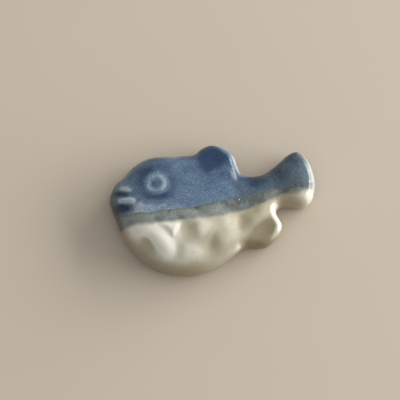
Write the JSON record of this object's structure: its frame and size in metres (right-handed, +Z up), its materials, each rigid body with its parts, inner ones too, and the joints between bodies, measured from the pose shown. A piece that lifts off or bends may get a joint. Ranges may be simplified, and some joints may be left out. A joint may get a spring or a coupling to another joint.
{
  "type": "chopstick rest",
  "caption": "Small glazed ceramic fish that lies on its side; chopsticks rest on its low stalk between the round body and the raised tail.",
  "frame": {"origin": "under the middle of the fish, on the surface that it stands on", "axes": "+X from the mouth to the tail, +Y from the belly to the dorsal fin, +Z up"},
  "size_m": [0.055, 0.0356, 0.0123],
  "materials": {
    "clay": "bare fired clay, matte",
    "blue_glaze": "glossy blue glaze with fine pale speckle",
    "band_glaze": "glossy grey-green glaze, mottled",
    "cream_glaze": "glossy warm cream glaze",
    "pale_blue_glaze": "glossy blue glaze, thin and pale over a ridge"
  },
  "bodies": {
    "root": {"trunk": "clay", "tail_fin": "clay", "dorsal_fin": "clay", "anal_fin": "clay", "pectoral_fin": "cream_glaze", "eye_ring": "pale_blue_glaze", "eye_pupil": "blue_glaze", "upper_lip": "pale_blue_glaze", "lower_lip": "pale_blue_glaze", "belly_nubs": "cream_glaze", "blue_glaze": "blue_glaze", "band_glaze": "band_glaze", "cream_glaze": "cream_glaze"}
  },
  "joints": []
}
